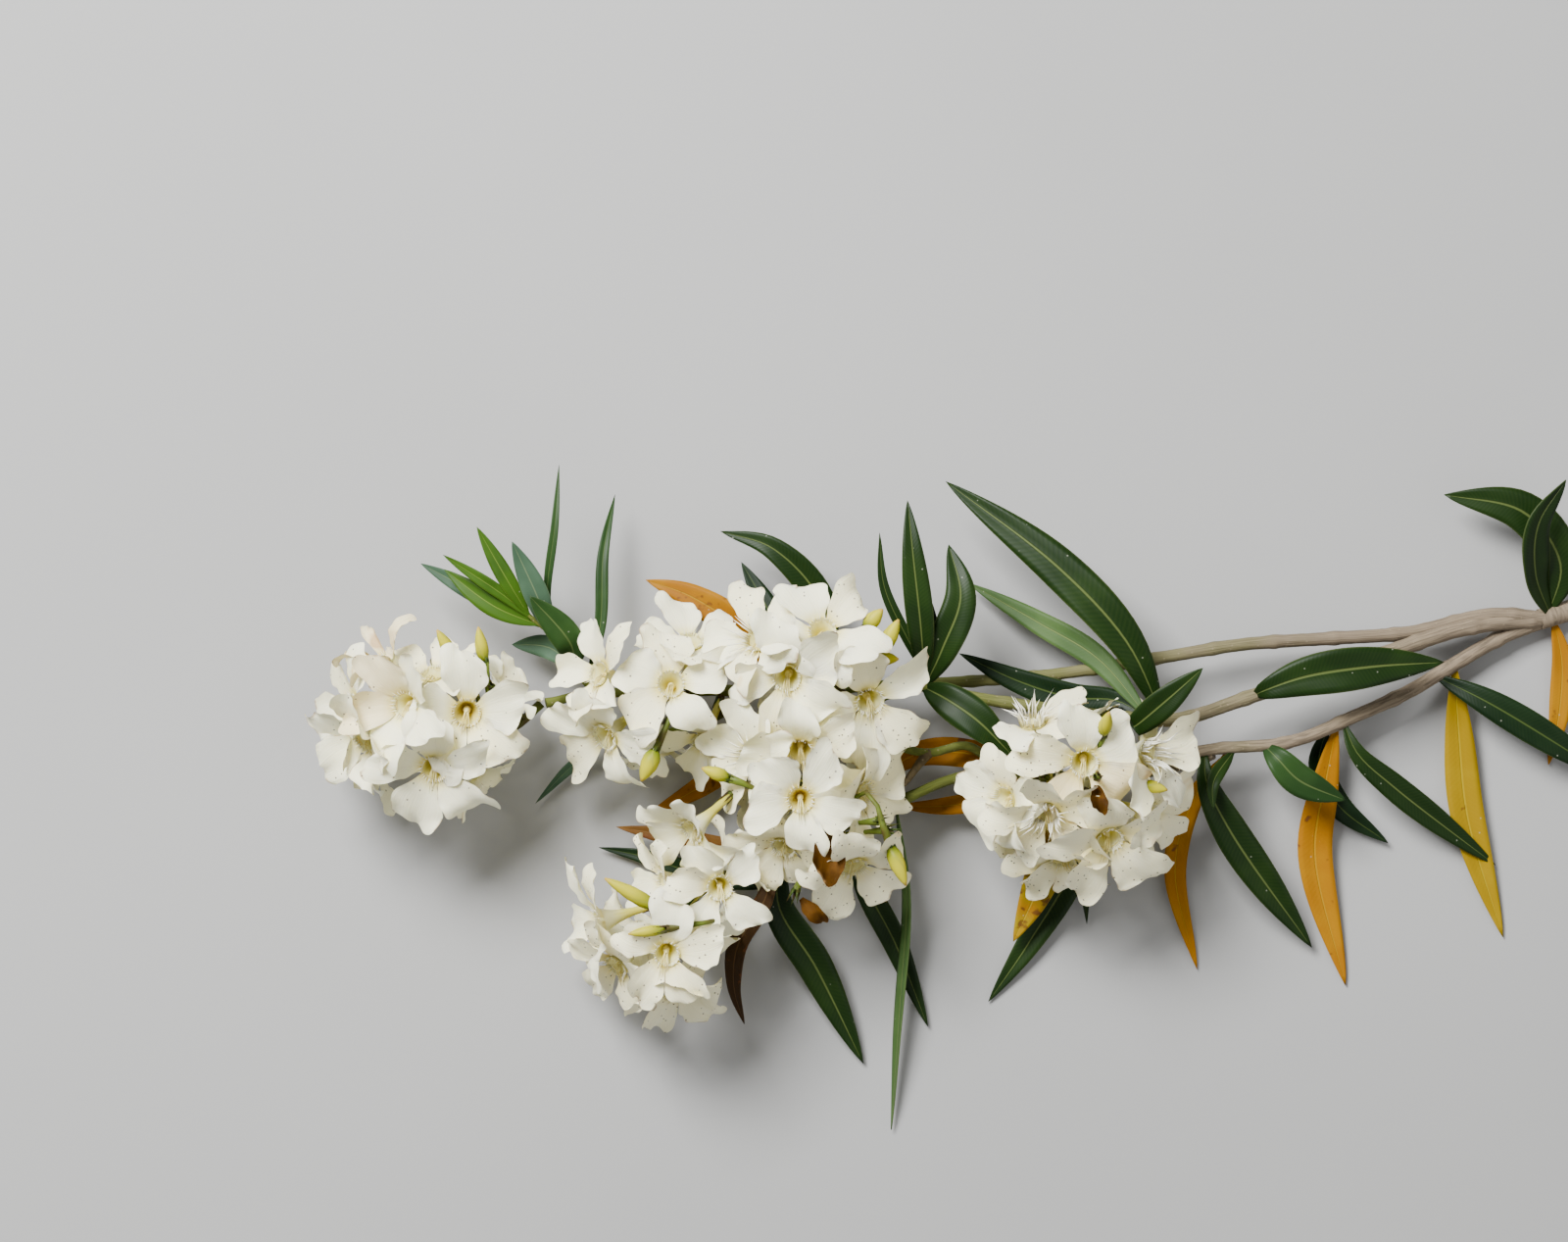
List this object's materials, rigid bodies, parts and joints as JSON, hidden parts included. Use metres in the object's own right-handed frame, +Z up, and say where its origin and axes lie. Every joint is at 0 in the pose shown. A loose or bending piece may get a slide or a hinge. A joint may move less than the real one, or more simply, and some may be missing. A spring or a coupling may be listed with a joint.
{
  "type": "cut flowering oleander branch",
  "caption": "Cut branch of a white-flowering oleander lying on the floor: forking woody boughs, heads of white flowers, long narrow leaves and a young shoot.",
  "frame": {"origin": "On the floor, under the middle of the branch's bounding box.", "axes": "+X runs along the branch towards its cut end, +Y across it to the side of the leafy shoot, +Z up from the floor."},
  "size_m": [0.4528, 0.2294, 0.0708],
  "materials": {
    "bark": "rough grey-brown bark, yellow-green towards the flowers",
    "stalk": "green flower stalks, brown-green calyxes and yellow-green buds",
    "petal": "matt white petals with ochre throats",
    "leaf": "leathery dark green with pale midribs, a few yellow",
    "young_leaf": "satin bright green",
    "dry_leaf": "dry brown"
  },
  "bodies": {
    "root": {"main_stem": "bark", "middle_bough": "bark", "lower_bough": "bark", "back_bough": "bark", "forward_bough": "bark", "far_head_stalk": "stalk", "back_head_stalk": "stalk", "middle_head_stalk": "stalk", "lower_head_stalk": "stalk", "near_head_stalk": "stalk", "far_head_flower_1": "petal", "far_head_flower_2": "petal", "far_head_flower_3": "petal", "far_head_flower_4": "petal", "far_head_flower_5": "petal", "far_head_flower_6": "petal", "far_head_flower_7": "petal", "back_head_flower_1": "petal", "back_head_flower_2": "petal", "back_head_flower_3": "petal", "back_head_flower_4": "petal", "back_head_flower_5": "petal", "middle_head_flower_1": "petal", "middle_head_flower_2": "petal", "middle_head_flower_3": "petal", "middle_head_flower_4": "petal", "middle_head_flower_5": "petal", "middle_head_flower_6": "petal", "middle_head_flower_7": "petal", "middle_head_flower_8": "petal", "middle_head_flower_9": "petal", "middle_head_flower_10": "petal", "lower_head_flower_1": "petal", "lower_head_flower_2": "petal", "lower_head_flower_3": "petal", "lower_head_flower_4": "petal", "lower_head_flower_5": "petal", "lower_head_flower_6": "petal", "lower_head_flower_7": "petal", "lower_head_flower_8": "petal", "near_head_flower_1": "petal", "near_head_flower_2": "petal", "near_head_flower_3": "petal", "near_head_flower_4": "petal", "near_head_flower_5": "petal", "near_head_flower_6": "petal", "near_head_flower_7": "petal", "near_head_flower_8": "petal", "fork_leaves": "leaf", "right_upper_leaves": "leaf", "long_side_leaf": "leaf", "right_lower_leaves": "leaf", "lower_leaves": "leaf", "middle_leaves": "leaf", "whorl_leaves": "leaf", "hidden_bough_leaves": "leaf", "near_head_leaves": "leaf", "under_leaves": "leaf", "dry_leaves": "dry_leaf", "shoot": "young_leaf"}
  },
  "joints": []
}
